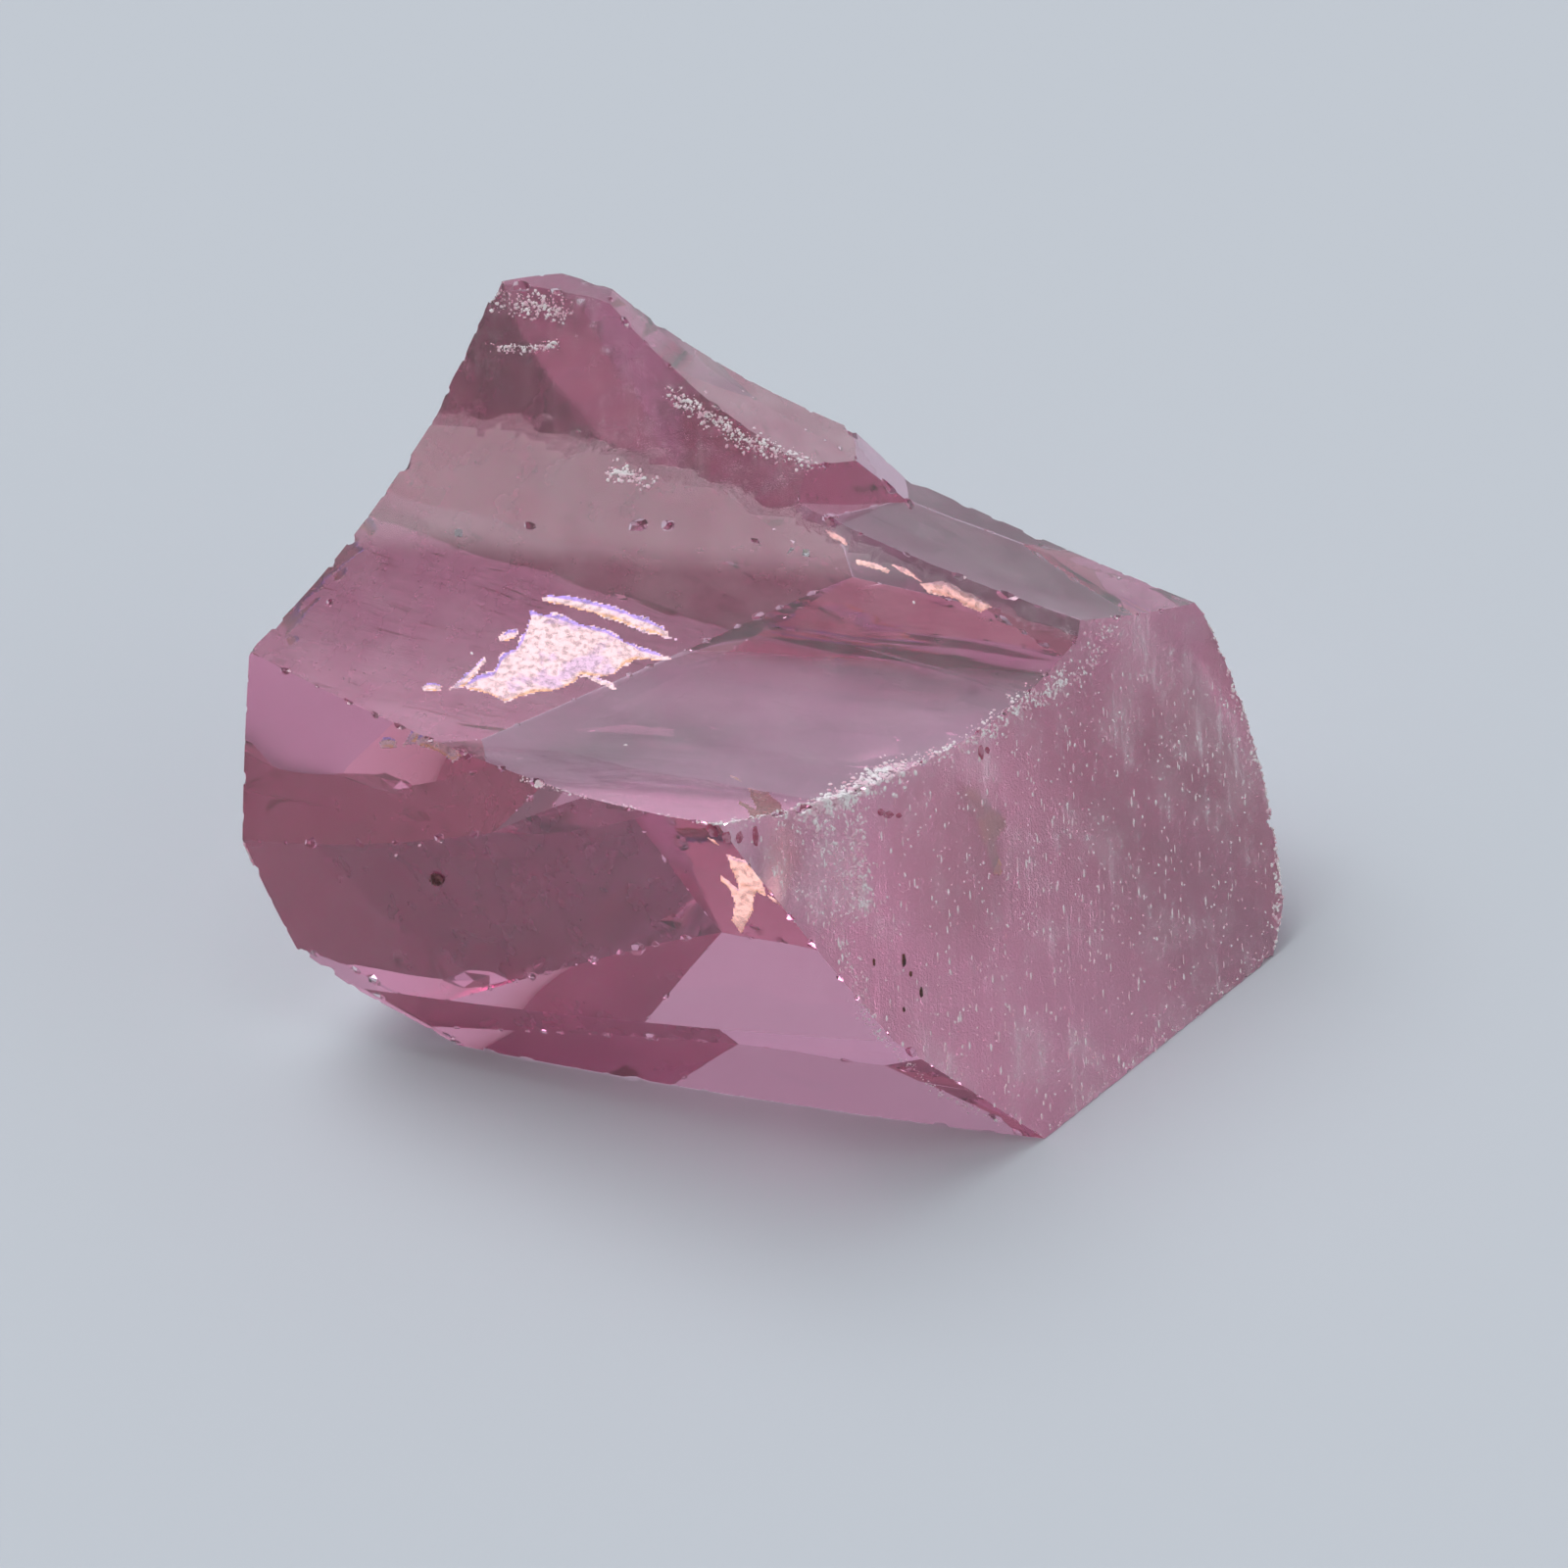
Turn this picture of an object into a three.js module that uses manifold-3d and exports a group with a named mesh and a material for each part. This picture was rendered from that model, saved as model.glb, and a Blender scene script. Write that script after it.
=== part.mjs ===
// Rough sapphire: one broken piece of crystal, lying on its broad flat base.
//
// Millimetres, +Z up. The base lies on z = 0 and the sawn face looks to the right front.
// A block is knapped to shape: one cutter leaves each face, and its near side is bent and
// faintly ribbed like the scar of a struck flake. The faces meet at the corners named below.

import * as THREE from 'three';
import { mergeVertices } from 'three/addons/utils/BufferGeometryUtils.js';
import Module from 'manifold-3d';

// ---------------------------------------------------------------- driving dimensions (mm)

const BLOCK = { width: 23, depth: 18, height: 12.5, middle: [-0.5, 2.8, 5.6] };
const CUTTER_DEPTH = 13;
const FACET_STEP = 0.65;
const RIB_LENGTH = 1.9;
const WELD = 1e-4;

const CORNER = {
  noseFloor: [4.9, -4.75, 0],
  rightFloor: [9.35, 0.45, 0],
  leftFloor: [-5.7, -2.35, 0],
  leftBelly: [-8.3, -1.9, 1.2],
  leftTip: [-10.95, -1.3, 4.0],
  frontKnee: [1.6, -5.3, 3.4],
  ridgeRight: [-1.35, -4.6, 7.75],
  ridgeLeft: [-5.1, -3.05, 7.5],
  lowerRidge: [-5.9, -3.05, 5.9],
  trayLeft: [-10.15, 0.65, 7.8],
  trayBack: [-6.6, 6.5, 9.75],
  creaseLeft: [-4.8, 5.8, 9.4],
  creaseRight: [0.6, 5.0, 8.3],
  hornTip: [-5.8, 7.7, 11.4],
  benchFront: [6.4, 2.9, 6.6],
  benchRight: [8.05, 4.25, 5.8],
  rightHeel: [9.8, 1.95, 1.2],
};

// One entry for each broken or sawn face. A face passes through three corners, seen
// anticlockwise from outside, or through one point with a facing. bend is its curvature
// sideways and upwards in 1/mm, where plus is hollow and minus is swollen, and rib is the
// height of its faint ribs.
const FACE = {
  base: { at: [1, 1, 0], facing: [0, 0, -1], reach: 14, bend: [0, 0], rib: 0 },
  sawn: { through: ['noseFloor', 'rightFloor', 'ridgeRight'], reach: 11, bend: [0, 0], rib: 0 },
  front: {
    at: [-3.57, -3.74, 5.05], facing: [-0.305, -0.95, -0.055],
    reach: 13, bend: [-0.01, -0.01], rib: 0.01,
  },
  frontLow: {
    at: [0.27, -4.11, 1.14], facing: [-0.21, -0.91, -0.36],
    reach: 13, bend: [-0.01, 0.008], rib: 0.01,
  },
  left: {
    at: [-9, -1.23, 5.9], facing: [-0.44, -0.76, 0.475],
    reach: 8, bend: [0.016, 0.01], rib: 0.01,
  },
  underLeft: {
    at: [-8.25, -1, 1.38], facing: [-0.54, 0.04, -0.84],
    reach: 9, bend: [0.034, 0.05], rib: 0.01,
  },
  backLeft: {
    at: [-9.13, 1.87, 7.19], facing: [-0.795, 0.56, -0.235],
    reach: 13, bend: [-0.016, -0.024], rib: 0.02,
  },
  rightBack: {
    at: [9.09, 3.89, 4.2], facing: [0.76, 0.645, 0.005],
    reach: 9, bend: [0, -0.126], rib: 0.02,
  },
  heel: {
    at: [9.92, 1.35, 0.54], facing: [0.88, 0.11, -0.46],
    reach: 8, bend: [-0.03, 0.006], rib: 0.01,
  },
  back: {
    at: [4.59, 6.18, 6.7], facing: [0.405, 0.88, 0.255],
    reach: 14, bend: [-0.016, 0.004], rib: 0.02,
  },
  backLow: {
    at: [-2.8, 9.05, 2.96], facing: [-0.415, 0.905, 0.075],
    reach: 13, bend: [-0.016, 0.018], rib: 0.02,
  },
  hornBack: { at: [-5, 8.6, 10], facing: [-0.25, 0.92, 0.3], reach: 12, bend: [0.01, 0.01], rib: 0.02 },
  hornTop: {
    at: [-0.18, 6.3, 8.99], facing: [0.41, 0.045, 0.91],
    reach: 9, bend: [0.09, 0], rib: 0.01,
  },
  hornTip: { at: [-4.9, 7.6, 11.4], facing: [0.12, 0.05, 0.98], reach: 5, bend: [-0.1, -0.1], rib: 0 },
  hornShoulder: { at: [1.7, 6.8, 8.05], facing: [0.73, 0.1, 0.684], reach: 7, bend: [-0.1, 0], rib: 0 },
  ridge: {
    through: ['ridgeLeft', 'lowerRidge', 'ridgeRight'],
    reach: 6, bend: [0.02, 0.06], rib: 0.01,
  },
  tray: { at: [-1, 0, 6.8], facing: [0.1, -0.06, 0.99], reach: 13, bend: [0, 0.105], rib: 0.01 },
  hornFront: {
    through: ['creaseLeft', 'creaseRight', 'hornTip'],
    reach: 11, bend: [0.01, 0.03], rib: 0.03,
  },
  scarp: { at: [2.7, 3.4, 7.2], facing: [-0.142, -0.78, 0.3], reach: 11, bend: [0.04, 0], rib: 0.01 },
  bench: { at: [4.2, 4.5, 6.92], facing: [0.3, 0.16, 1], reach: 11, bend: [0.02, 0.06], rib: 0.01 },
  hornEnd: { at: [1.4, 5.6, 7.95], facing: [0.68, -0.75, 0.5], reach: 11, bend: [0, 0], rib: 0.01 },
};

const BROKEN_OFF = [
  'base', 'sawn', 'front', 'frontLow', 'left', 'underLeft', 'backLeft', 'rightBack', 'heel',
  'back', 'backLow', 'hornBack', 'hornTop', 'hornTip', 'ridge',
];

// Small bites out of the thin edges: the two ends of an edge, how many, and their radius.
const NICKED_EDGES = [
  { from: 'trayBack', to: 'trayLeft', count: 5, radius: 0.3 },
  { from: 'leftTip', to: 'leftBelly', count: 3, radius: 0.3 },
  { from: 'leftBelly', to: 'leftFloor', count: 3, radius: 0.24 },
  { from: 'benchRight', to: 'rightHeel', count: 6, radius: 0.24 },
  { from: 'ridgeRight', to: 'frontKnee', count: 6, radius: 0.22 },
  { from: 'ridgeRight', to: 'benchFront', count: 7, radius: 0.2 },
];

// A broad, shallow dish worn into the sawn face: a cap of a very large ball, which is
// divided finely enough that the cap gets some dozens of facets.
const DISH = { at: [2.7, -2.15, 5.35], ball: 30, depth: 0.06, rings: 80 };

const CRYSTAL = { color: 0xc9587f, roughness: 0.08, metalness: 0 };

// ---------------------------------------------------------------- solids

const wasm = await Module();
wasm.setup();

function toSolid(geometry) {
  geometry.deleteAttribute('normal');
  geometry.deleteAttribute('uv');
  const welded = mergeVertices(geometry, WELD);
  return new wasm.Manifold(new wasm.Mesh({
    numProp: 3,
    vertProperties: new Float32Array(welded.attributes.position.array),
    triVerts: new Uint32Array(welded.index.array),
  }));
}

function toGeometry(solid) {
  const mesh = solid.getMesh();
  const geometry = new THREE.BufferGeometry();
  geometry.setAttribute('position', new THREE.BufferAttribute(mesh.vertProperties, 3));
  geometry.setIndex(new THREE.BufferAttribute(mesh.triVerts, 1));
  return geometry;
}

// ---------------------------------------------------------------- faces

// The point that a face passes through and the direction it looks in.
function planeOf(face) {
  if (!face.through) {
    return { at: new THREE.Vector3(...face.at), out: new THREE.Vector3(...face.facing).normalize() };
  }
  const [a, b, c] = face.through.map((name) => new THREE.Vector3(...CORNER[name]));
  const at = a.clone().add(b).add(c).divideScalar(3);
  const out = b.clone().sub(a).cross(c.clone().sub(a)).normalize();
  return { at, out };
}

// Axes of a face: across runs level, up climbs the face, and out looks away from the crystal.
function axesOf(out) {
  const level = Math.abs(out.z) > 0.8 ? new THREE.Vector3(1, 0, 0) : new THREE.Vector3(-out.y, out.x, 0);
  const up = out.clone().cross(level).normalize();
  const across = up.clone().cross(out).normalize();
  return new THREE.Matrix4().makeBasis(across, up, out);
}

// Height of a scar above its plane at one place: its bend, and ribs that ring the strike.
function scarHeight(face, across, up) {
  const [bendAcross, bendUp] = face.bend;
  const bend = 0.5 * (bendAcross * across * across + bendUp * up * up);
  const fromStrike = Math.hypot(across + 0.7 * face.reach, up - 0.6 * face.reach);
  return bend + face.rib * Math.sin((2 * Math.PI * fromStrike) / RIB_LENGTH);
}

// The solid that leaves one face: a deep slab whose near side carries the scar.
function cutter(face) {
  const { at, out } = planeOf(face);
  const smooth = face.rib === 0 && face.bend[0] === 0 && face.bend[1] === 0;
  const steps = smooth ? 1 : Math.round((2 * face.reach) / FACET_STEP);
  const slab = new THREE.BoxGeometry(2 * face.reach, 2 * face.reach, CUTTER_DEPTH, steps, steps, 1);
  slab.translate(0, 0, CUTTER_DEPTH / 2);
  const place = slab.attributes.position;
  for (let i = 0; i < place.count; i += 1) {
    if (place.getZ(i) < WELD) {
      place.setZ(i, scarHeight(face, place.getX(i), place.getY(i)));
    }
  }
  slab.applyMatrix4(axesOf(out).setPosition(at));
  return toSolid(slab);
}

// ---------------------------------------------------------------- bites

function bite(at, radius, turn) {
  const chip = new THREE.IcosahedronGeometry(radius, 1);
  chip.scale(1, 0.75, 1.25);
  chip.rotateX(turn);
  chip.rotateZ(2.4 * turn);
  chip.translate(at.x, at.y, at.z);
  return toSolid(chip);
}

function dishCutter() {
  const { out } = planeOf(FACE.sawn);
  const ball = new THREE.SphereGeometry(DISH.ball, 2 * DISH.rings, DISH.rings);
  const middle = new THREE.Vector3(...DISH.at).addScaledVector(out, DISH.ball - DISH.depth);
  ball.translate(middle.x, middle.y, middle.z);
  return toSolid(ball);
}

function nickEdge(stone, edge) {
  const from = new THREE.Vector3(...CORNER[edge.from]);
  const to = new THREE.Vector3(...CORNER[edge.to]);
  let nicked = stone;
  for (let i = 0; i < edge.count; i += 1) {
    const along = (i + 0.5 + 0.3 * Math.sin(5 * i)) / edge.count;
    const at = from.clone().lerp(to, along);
    const radius = edge.radius * (1 + 0.4 * Math.sin(3 * i + 1));
    nicked = nicked.subtract(bite(at, radius, i));
  }
  return nicked;
}

// ---------------------------------------------------------------- the stone

function knapStone() {
  const block = new THREE.BoxGeometry(BLOCK.width, BLOCK.depth, BLOCK.height);
  block.translate(...BLOCK.middle);
  let stone = toSolid(block);
  for (const name of BROKEN_OFF) {
    stone = stone.subtract(cutter(FACE[name]));
  }
  const aboveTray = cutter(FACE.tray);
  stone = stone.subtract(aboveTray.intersect(cutter(FACE.hornFront)));
  stone = stone.subtract(aboveTray.intersect(cutter(FACE.scarp)));
  const aboveBench = cutter(FACE.bench);
  stone = stone.subtract(aboveBench.intersect(cutter(FACE.hornEnd)));
  stone = stone.subtract(aboveBench.intersect(cutter(FACE.hornShoulder)));
  stone = stone.subtract(dishCutter());
  for (const edge of NICKED_EDGES) {
    stone = nickEdge(stone, edge);
  }
  return stone;
}

// The origin is under the middle of the stone, on the plane that it lies on.
function standOnOrigin(geometry) {
  geometry.computeBoundingBox();
  const { min, max } = geometry.boundingBox;
  geometry.translate(-(min.x + max.x) / 2, -(min.y + max.y) / 2, -min.z);
}

const geometry = toGeometry(knapStone());
standOnOrigin(geometry);
const sapphire = new THREE.Mesh(geometry, new THREE.MeshStandardMaterial(CRYSTAL));
sapphire.name = 'sapphire';

const specimen = new THREE.Group();
specimen.add(sapphire);

export default specimen;
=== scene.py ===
"""A rough sapphire: one broken, see-through pink crystal lying on its flat base.

The crystal is knapped from a block in millimetres, one cutter for each broken face, in the
same way as its CAD solid. Crushed crumbs, rust specks and the feathers sealed inside it are
modelled round it, and everything is then moved together onto the CAD solid's place.
"""

from __future__ import annotations

import logging
import math
import random
from dataclasses import dataclass, field
from enum import Enum

import bmesh
import bpy
import numpy as np
from mathutils import Matrix, Vector, noise
from mathutils.bvhtree import BVHTree

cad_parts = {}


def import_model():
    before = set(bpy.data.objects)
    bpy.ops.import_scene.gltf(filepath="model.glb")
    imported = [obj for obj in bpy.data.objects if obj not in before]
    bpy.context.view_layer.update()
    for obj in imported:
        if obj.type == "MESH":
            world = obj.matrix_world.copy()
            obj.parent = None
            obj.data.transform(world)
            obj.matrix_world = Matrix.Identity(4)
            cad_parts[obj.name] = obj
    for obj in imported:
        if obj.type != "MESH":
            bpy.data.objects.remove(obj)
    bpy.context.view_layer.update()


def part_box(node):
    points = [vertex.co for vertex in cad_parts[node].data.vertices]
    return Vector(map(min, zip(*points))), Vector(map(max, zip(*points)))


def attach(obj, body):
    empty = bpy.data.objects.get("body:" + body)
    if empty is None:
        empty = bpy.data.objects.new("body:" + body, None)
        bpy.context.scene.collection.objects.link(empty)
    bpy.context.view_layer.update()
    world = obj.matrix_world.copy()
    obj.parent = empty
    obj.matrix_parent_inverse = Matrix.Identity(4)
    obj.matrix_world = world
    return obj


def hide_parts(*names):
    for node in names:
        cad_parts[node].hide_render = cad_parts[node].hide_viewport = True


LOG = logging.getLogger("sapphire")
MM = 0.001
BODY = "root"
NODE = "sapphire"

Triple = tuple[float, float, float]
Colour = tuple[float, float, float]
Outline = tuple[tuple[float, float], ...]
Socket = bpy.types.NodeSocket
Spot = tuple[Triple, float, float]

CUTTER_DEPTH = 13.0  # how far a cutter reaches out from its scar, in mm
STRIKE = (-0.7, 0.6)  # where the blow fell, across and up, in halves of a cutter's width
RIB_LENGTH = 1.9  # from one rib round the strike to the next, in mm
RUBBLE_LENGTH = 1.3  # longest wave of the rough relief, in mm
SAW_SPACING = 0.55  # widest spacing of the saw's scratches, in mm
SAW_STRETCH = (1.0, 0.06)  # how quickly they change across and along the saw's run
SAW_LEAN = math.radians(30)  # how far the run leans from straight up the face
DISH_TALL = 1.25  # height of the smoother dish over its width
DISH_SHEEN = 0.3  # how much less frosted the middle of the dish is


# ------------------------------------------------------------------------ broken faces


class Corner(Enum):
    """Named corners where the broken faces meet, in millimetres."""

    NOSE_FLOOR = (4.9, -4.75, 0.0)
    RIGHT_FLOOR = (9.35, 0.45, 0.0)
    RIDGE_RIGHT = (-1.35, -4.6, 7.75)
    RIDGE_LEFT = (-5.1, -3.05, 7.5)
    LOWER_RIDGE = (-5.9, -3.05, 5.9)
    CREASE_LEFT = (-4.8, 5.8, 9.4)
    CREASE_RIGHT = (0.6, 5.0, 8.3)
    HORN_TIP = (-5.8, 7.7, 11.4)


@dataclass(frozen=True)
class BrokenFace:
    """One broken or sawn face, and the cutter that leaves it.

    Attributes:
        name: What the face is called.
        reach: Half the width of its cutter, in mm.
        bend: Curvature sideways and upwards in 1/mm: plus is hollow, minus is swollen.
        rib: Height of the faint ribs that ring the strike, in mm.
        through: Three corners on the face, seen anticlockwise from outside.
        at: A point on the face, where it isn't given by corners.
        facing: The way it looks, where it isn't given by corners.
        step: Size of one cell of the cutter's grid, in mm.
        rubble: Height of its irregular roughness, in mm.
        saw: Depth of the saw's scratches, in mm.
        matt: How frosted it is, from 0, glassy, to 1, ground.
        dust_and_painted_light: How much pale dusting and scuffing, with painted pale light, lies on
            it, from 0 to 1.
        dish: Middle across and up, radius and depth of its smoother dish, in mm.
    """

    name: str
    reach: float
    bend: tuple[float, float] = (0.0, 0.0)
    rib: float = 0.0
    through: tuple[Corner, Corner, Corner] | None = None
    at: Triple | None = None
    facing: Triple | None = None
    step: float = 0.15
    rubble: float = 0.0
    saw: float = 0.0
    matt: float = 0.0
    # Pale dusting on every face, partly painted pale light that lifts it.
    dust_and_painted_light: float = 0.04
    dish: tuple[float, float, float, float] | None = None

    def plane(self) -> tuple[Vector, Vector]:
        """Find the plane of the face.

        Returns:
            A point on the face and the direction that it looks in.
        """
        if self.through is None:
            return Vector(self.at), Vector(self.facing).normalized()
        a, b, c = (Vector(corner.value) for corner in self.through)
        return (a + b + c) / 3.0, (b - a).cross(c - a).normalized()

    def axes(self) -> Matrix:
        """Return the face's own axes: across is level, up climbs it, out looks away."""
        at, out = self.plane()
        level = Vector((1, 0, 0)) if abs(out.z) > 0.8 else Vector((-out.y, out.x, 0))
        up = out.cross(level).normalized()
        across = up.cross(out).normalized()
        turn = Matrix((across, up, out)).transposed().to_4x4()
        return Matrix.Translation(at) @ turn

    def heights(self, across: np.ndarray, up: np.ndarray) -> np.ndarray:
        """Work out how far the scar stands above its plane.

        Args:
            across: Places across the face, in mm.
            up: Places up the face, in mm.

        Returns:
            The height at each place, in mm.
        """
        height = 0.5 * (self.bend[0] * across**2 + self.bend[1] * up**2)
        strike = np.hypot(across - STRIKE[0] * self.reach, up - STRIKE[1] * self.reach)
        height += self.rib * np.sin(2 * math.pi * strike / RIB_LENGTH)
        if self.rubble:
            height += self.rubble * waves(across, up, RUBBLE_LENGTH, (1.0, 1.0))
        if self.saw:
            aside = across * math.cos(SAW_LEAN) - up * math.sin(SAW_LEAN)
            along = across * math.sin(SAW_LEAN) + up * math.cos(SAW_LEAN)
            height += self.saw * waves(aside, along, SAW_SPACING, SAW_STRETCH)
        if self.dish:
            height -= self.dish[3] * self.in_dish(across, up)
        return height

    def in_dish(self, across: np.ndarray, up: np.ndarray) -> np.ndarray:
        """Return how deep in the smoother dish each place lies, from 0 to 1."""
        if not self.dish:
            return np.zeros_like(across)
        middle_across, middle_up, radius, _ = self.dish
        away = np.hypot(across - middle_across, (up - middle_up) / DISH_TALL) / radius
        return np.clip(1.0 - away**2, 0.0, 1.0) ** 2

    def cutter(self) -> bpy.types.Object:
        """Build the closed slab whose near side carries the scar."""
        flat = self.bend == (0.0, 0.0) and not (self.rib or self.saw or self.rubble)
        steps = 1 if flat else round(2 * self.reach / self.step)
        shape = bmesh.new()
        bmesh.ops.create_grid(shape, x_segments=steps, y_segments=steps, size=self.reach)
        mesh = bpy.data.meshes.new(self.name)
        shape.to_mesh(mesh)
        shape.free()
        place = np.empty(len(mesh.vertices) * 3, dtype=np.float32)
        mesh.vertices.foreach_get("co", place)
        place = place.reshape(-1, 3)
        place[:, 2] = self.heights(place[:, 0].astype(float), place[:, 1].astype(float))
        mesh.vertices.foreach_set("co", place.ravel())
        shape = bmesh.new()
        shape.from_mesh(mesh)
        rim = [edge for edge in shape.edges if edge.is_boundary]
        drawn = bmesh.ops.extrude_edge_only(shape, edges=rim)["geom"]
        for vert in (item for item in drawn if isinstance(item, bmesh.types.BMVert)):
            vert.co.z = CUTTER_DEPTH
        edges = [item for item in drawn if isinstance(item, bmesh.types.BMEdge)]
        bmesh.ops.contextual_create(shape, geom=[edge for edge in edges if edge.is_boundary])
        bmesh.ops.recalc_face_normals(shape, faces=shape.faces)
        shape.transform(self.axes())
        shape.to_mesh(mesh)
        shape.free()
        return bpy.data.objects.new(self.name, mesh)


def waves(across: np.ndarray, up: np.ndarray, length: float,
          stretch: tuple[float, float]) -> np.ndarray:
    """Sum a few crossing waves into an irregular, repeatable relief.

    Args:
        across: Places across the face, in mm.
        up: Places up the face, in mm.
        length: The longest wave, in mm.
        stretch: How quickly the relief changes across and up.

    Returns:
        The relief at each place, between about -1 and 1.
    """
    total = np.zeros_like(across)
    for octave in range(5):
        size = length / 1.7**octave
        turn = 2.4 * octave
        lane = math.cos(turn) * across * stretch[0] + math.sin(turn) * up * stretch[1]
        side = math.sin(turn) * across * stretch[0] - math.cos(turn) * up * stretch[1]
        drift = np.sin(2 * math.pi * side / (1.6 * size) + 1.3 * octave)
        total += np.sin(2 * math.pi * lane / size + 1.7 * drift + octave) / 1.5**octave
    return total / 2.3


C = Corner
FACES = {face.name: face for face in (
    BrokenFace("base", 14, at=(1, 1, 0), facing=(0, 0, -1)),
    BrokenFace("sawn", 9, through=(C.NOSE_FLOOR, C.RIGHT_FLOOR, C.RIDGE_RIGHT),
               step=0.09, saw=0.007, matt=1.0, dish=(-0.1, 2.9, 2.1, 0.04)),
    BrokenFace("front", 13, (-0.01, -0.01), 0.0015, at=(-3.57, -3.74, 5.05),
               facing=(-0.305, -0.95, -0.055)),
    BrokenFace("front_low", 13, (-0.01, 0.008), 0.0015, at=(0.27, -4.11, 1.14),
               facing=(-0.21, -0.91, -0.36)),
    BrokenFace("left", 8, (0.016, 0.01), 0.002, at=(-9, -1.23, 5.9), facing=(-0.44, -0.76, 0.475)),
    BrokenFace("under_left", 9, (0.034, 0.05), 0.002, at=(-8.25, -1, 1.38),
               facing=(-0.54, 0.04, -0.84)),
    BrokenFace("back_left", 13, (-0.016, -0.024), 0.0015, at=(-9.13, 1.87, 7.19),
               facing=(-0.795, 0.56, -0.235)),
    BrokenFace("right_back", 9, (0.0, -0.126), 0.0015, at=(9.09, 3.89, 4.2),
               facing=(0.76, 0.645, 0.005)),
    BrokenFace("heel", 8, (-0.03, 0.006), 0.002, at=(9.92, 1.35, 0.54), facing=(0.88, 0.11, -0.46)),
    BrokenFace("back", 14, (-0.016, 0.004), 0.0015, at=(4.59, 6.18, 6.7),
               facing=(0.405, 0.88, 0.255)),
    BrokenFace("back_low", 13, (-0.016, 0.018), 0.003, at=(-2.8, 9.05, 2.96),
               facing=(-0.415, 0.905, 0.075)),
    BrokenFace("horn_back", 12, (0.01, 0.01), 0.003, at=(-5, 8.6, 10), facing=(-0.25, 0.92, 0.3)),
    BrokenFace("horn_top", 9, (0.09, 0.0), 0.003, at=(-0.18, 6.3, 8.99),
               facing=(0.41, 0.045, 0.91), dust_and_painted_light=0.22),
    BrokenFace("horn_tip", 5, (-0.1, -0.1), 0.0, at=(-4.9, 7.6, 11.4),
               facing=(0.12, 0.05, 0.98), matt=0.3),
    BrokenFace("horn_shoulder", 7, (-0.1, 0.0), 0.0, at=(1.7, 6.8, 8.05),
               facing=(0.73, 0.1, 0.684)),
    BrokenFace("ridge", 6, (0.02, 0.06), 0.004, (C.RIDGE_LEFT, C.LOWER_RIDGE, C.RIDGE_RIGHT)),
    BrokenFace("tray", 13, (0.0, 0.105), 0.001, at=(-1, 0, 6.8),
               facing=(0.1, -0.06, 0.99), dust_and_painted_light=0.1),
    BrokenFace("horn_front", 11, (0.01, 0.03), 0.012, (C.CREASE_LEFT, C.CREASE_RIGHT, C.HORN_TIP),
               rubble=0.03, matt=0.3),
    BrokenFace("scarp", 11, (0.04, 0.0), 0.004, at=(2.7, 3.4, 7.2),
               facing=(-0.142, -0.78, 0.3), dust_and_painted_light=0.1),
    BrokenFace("bench", 11, (0.02, 0.06), 0.002, at=(4.2, 4.5, 6.92),
               facing=(0.3, 0.16, 1), dust_and_painted_light=0.13),
    BrokenFace("horn_end", 11, (0.0, 0.0), 0.006, at=(1.4, 5.6, 7.95), facing=(0.68, -0.75, 0.5)),
)}

BROKEN_OFF = (
    "base", "sawn", "front", "front_low", "left", "under_left", "back_left", "right_back",
    "heel", "back", "back_low", "horn_back", "horn_top", "horn_tip", "ridge",
)
STRUCK_OUT = (
    ("tray", "horn_front"), ("tray", "scarp"), ("bench", "horn_end"), ("bench", "horn_shoulder"),
)


# ------------------------------------------------------------------------ solids


class Join(Enum):
    """How a second solid changes the first."""

    CUT = "DIFFERENCE"
    SHARE = "INTERSECT"


def combine(body: bpy.types.Object, tools: list[bpy.types.Object], how: Join) -> bpy.types.Object:
    """Cut a body by tools, or keep what it shares with them.

    Args:
        body: The solid that is changed.
        tools: The closed solids that change it, in order.
        how: Whether the tools cut the body or bound it.

    Returns:
        A new object with the finished mesh.
    """
    scene = bpy.context.scene
    for item in (body, *tools):
        scene.collection.objects.link(item)
    for tool in tools:
        modifier = body.modifiers.new(tool.name, "BOOLEAN")
        modifier.operation = how.value
        modifier.solver = "MANIFOLD"
        modifier.object = tool
    graph = bpy.context.evaluated_depsgraph_get()
    graph.update()
    mesh = bpy.data.meshes.new_from_object(body.evaluated_get(graph))
    mesh.materials.clear()
    name = body.name
    for item in (body, *tools):
        bpy.data.objects.remove(item)
    return bpy.data.objects.new(name, mesh)


def as_object(shape: bmesh.types.BMesh, name: str) -> bpy.types.Object:
    """Turn a bmesh into an object and free it."""
    mesh = bpy.data.meshes.new(name)
    shape.to_mesh(mesh)
    shape.free()
    return bpy.data.objects.new(name, mesh)


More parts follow.
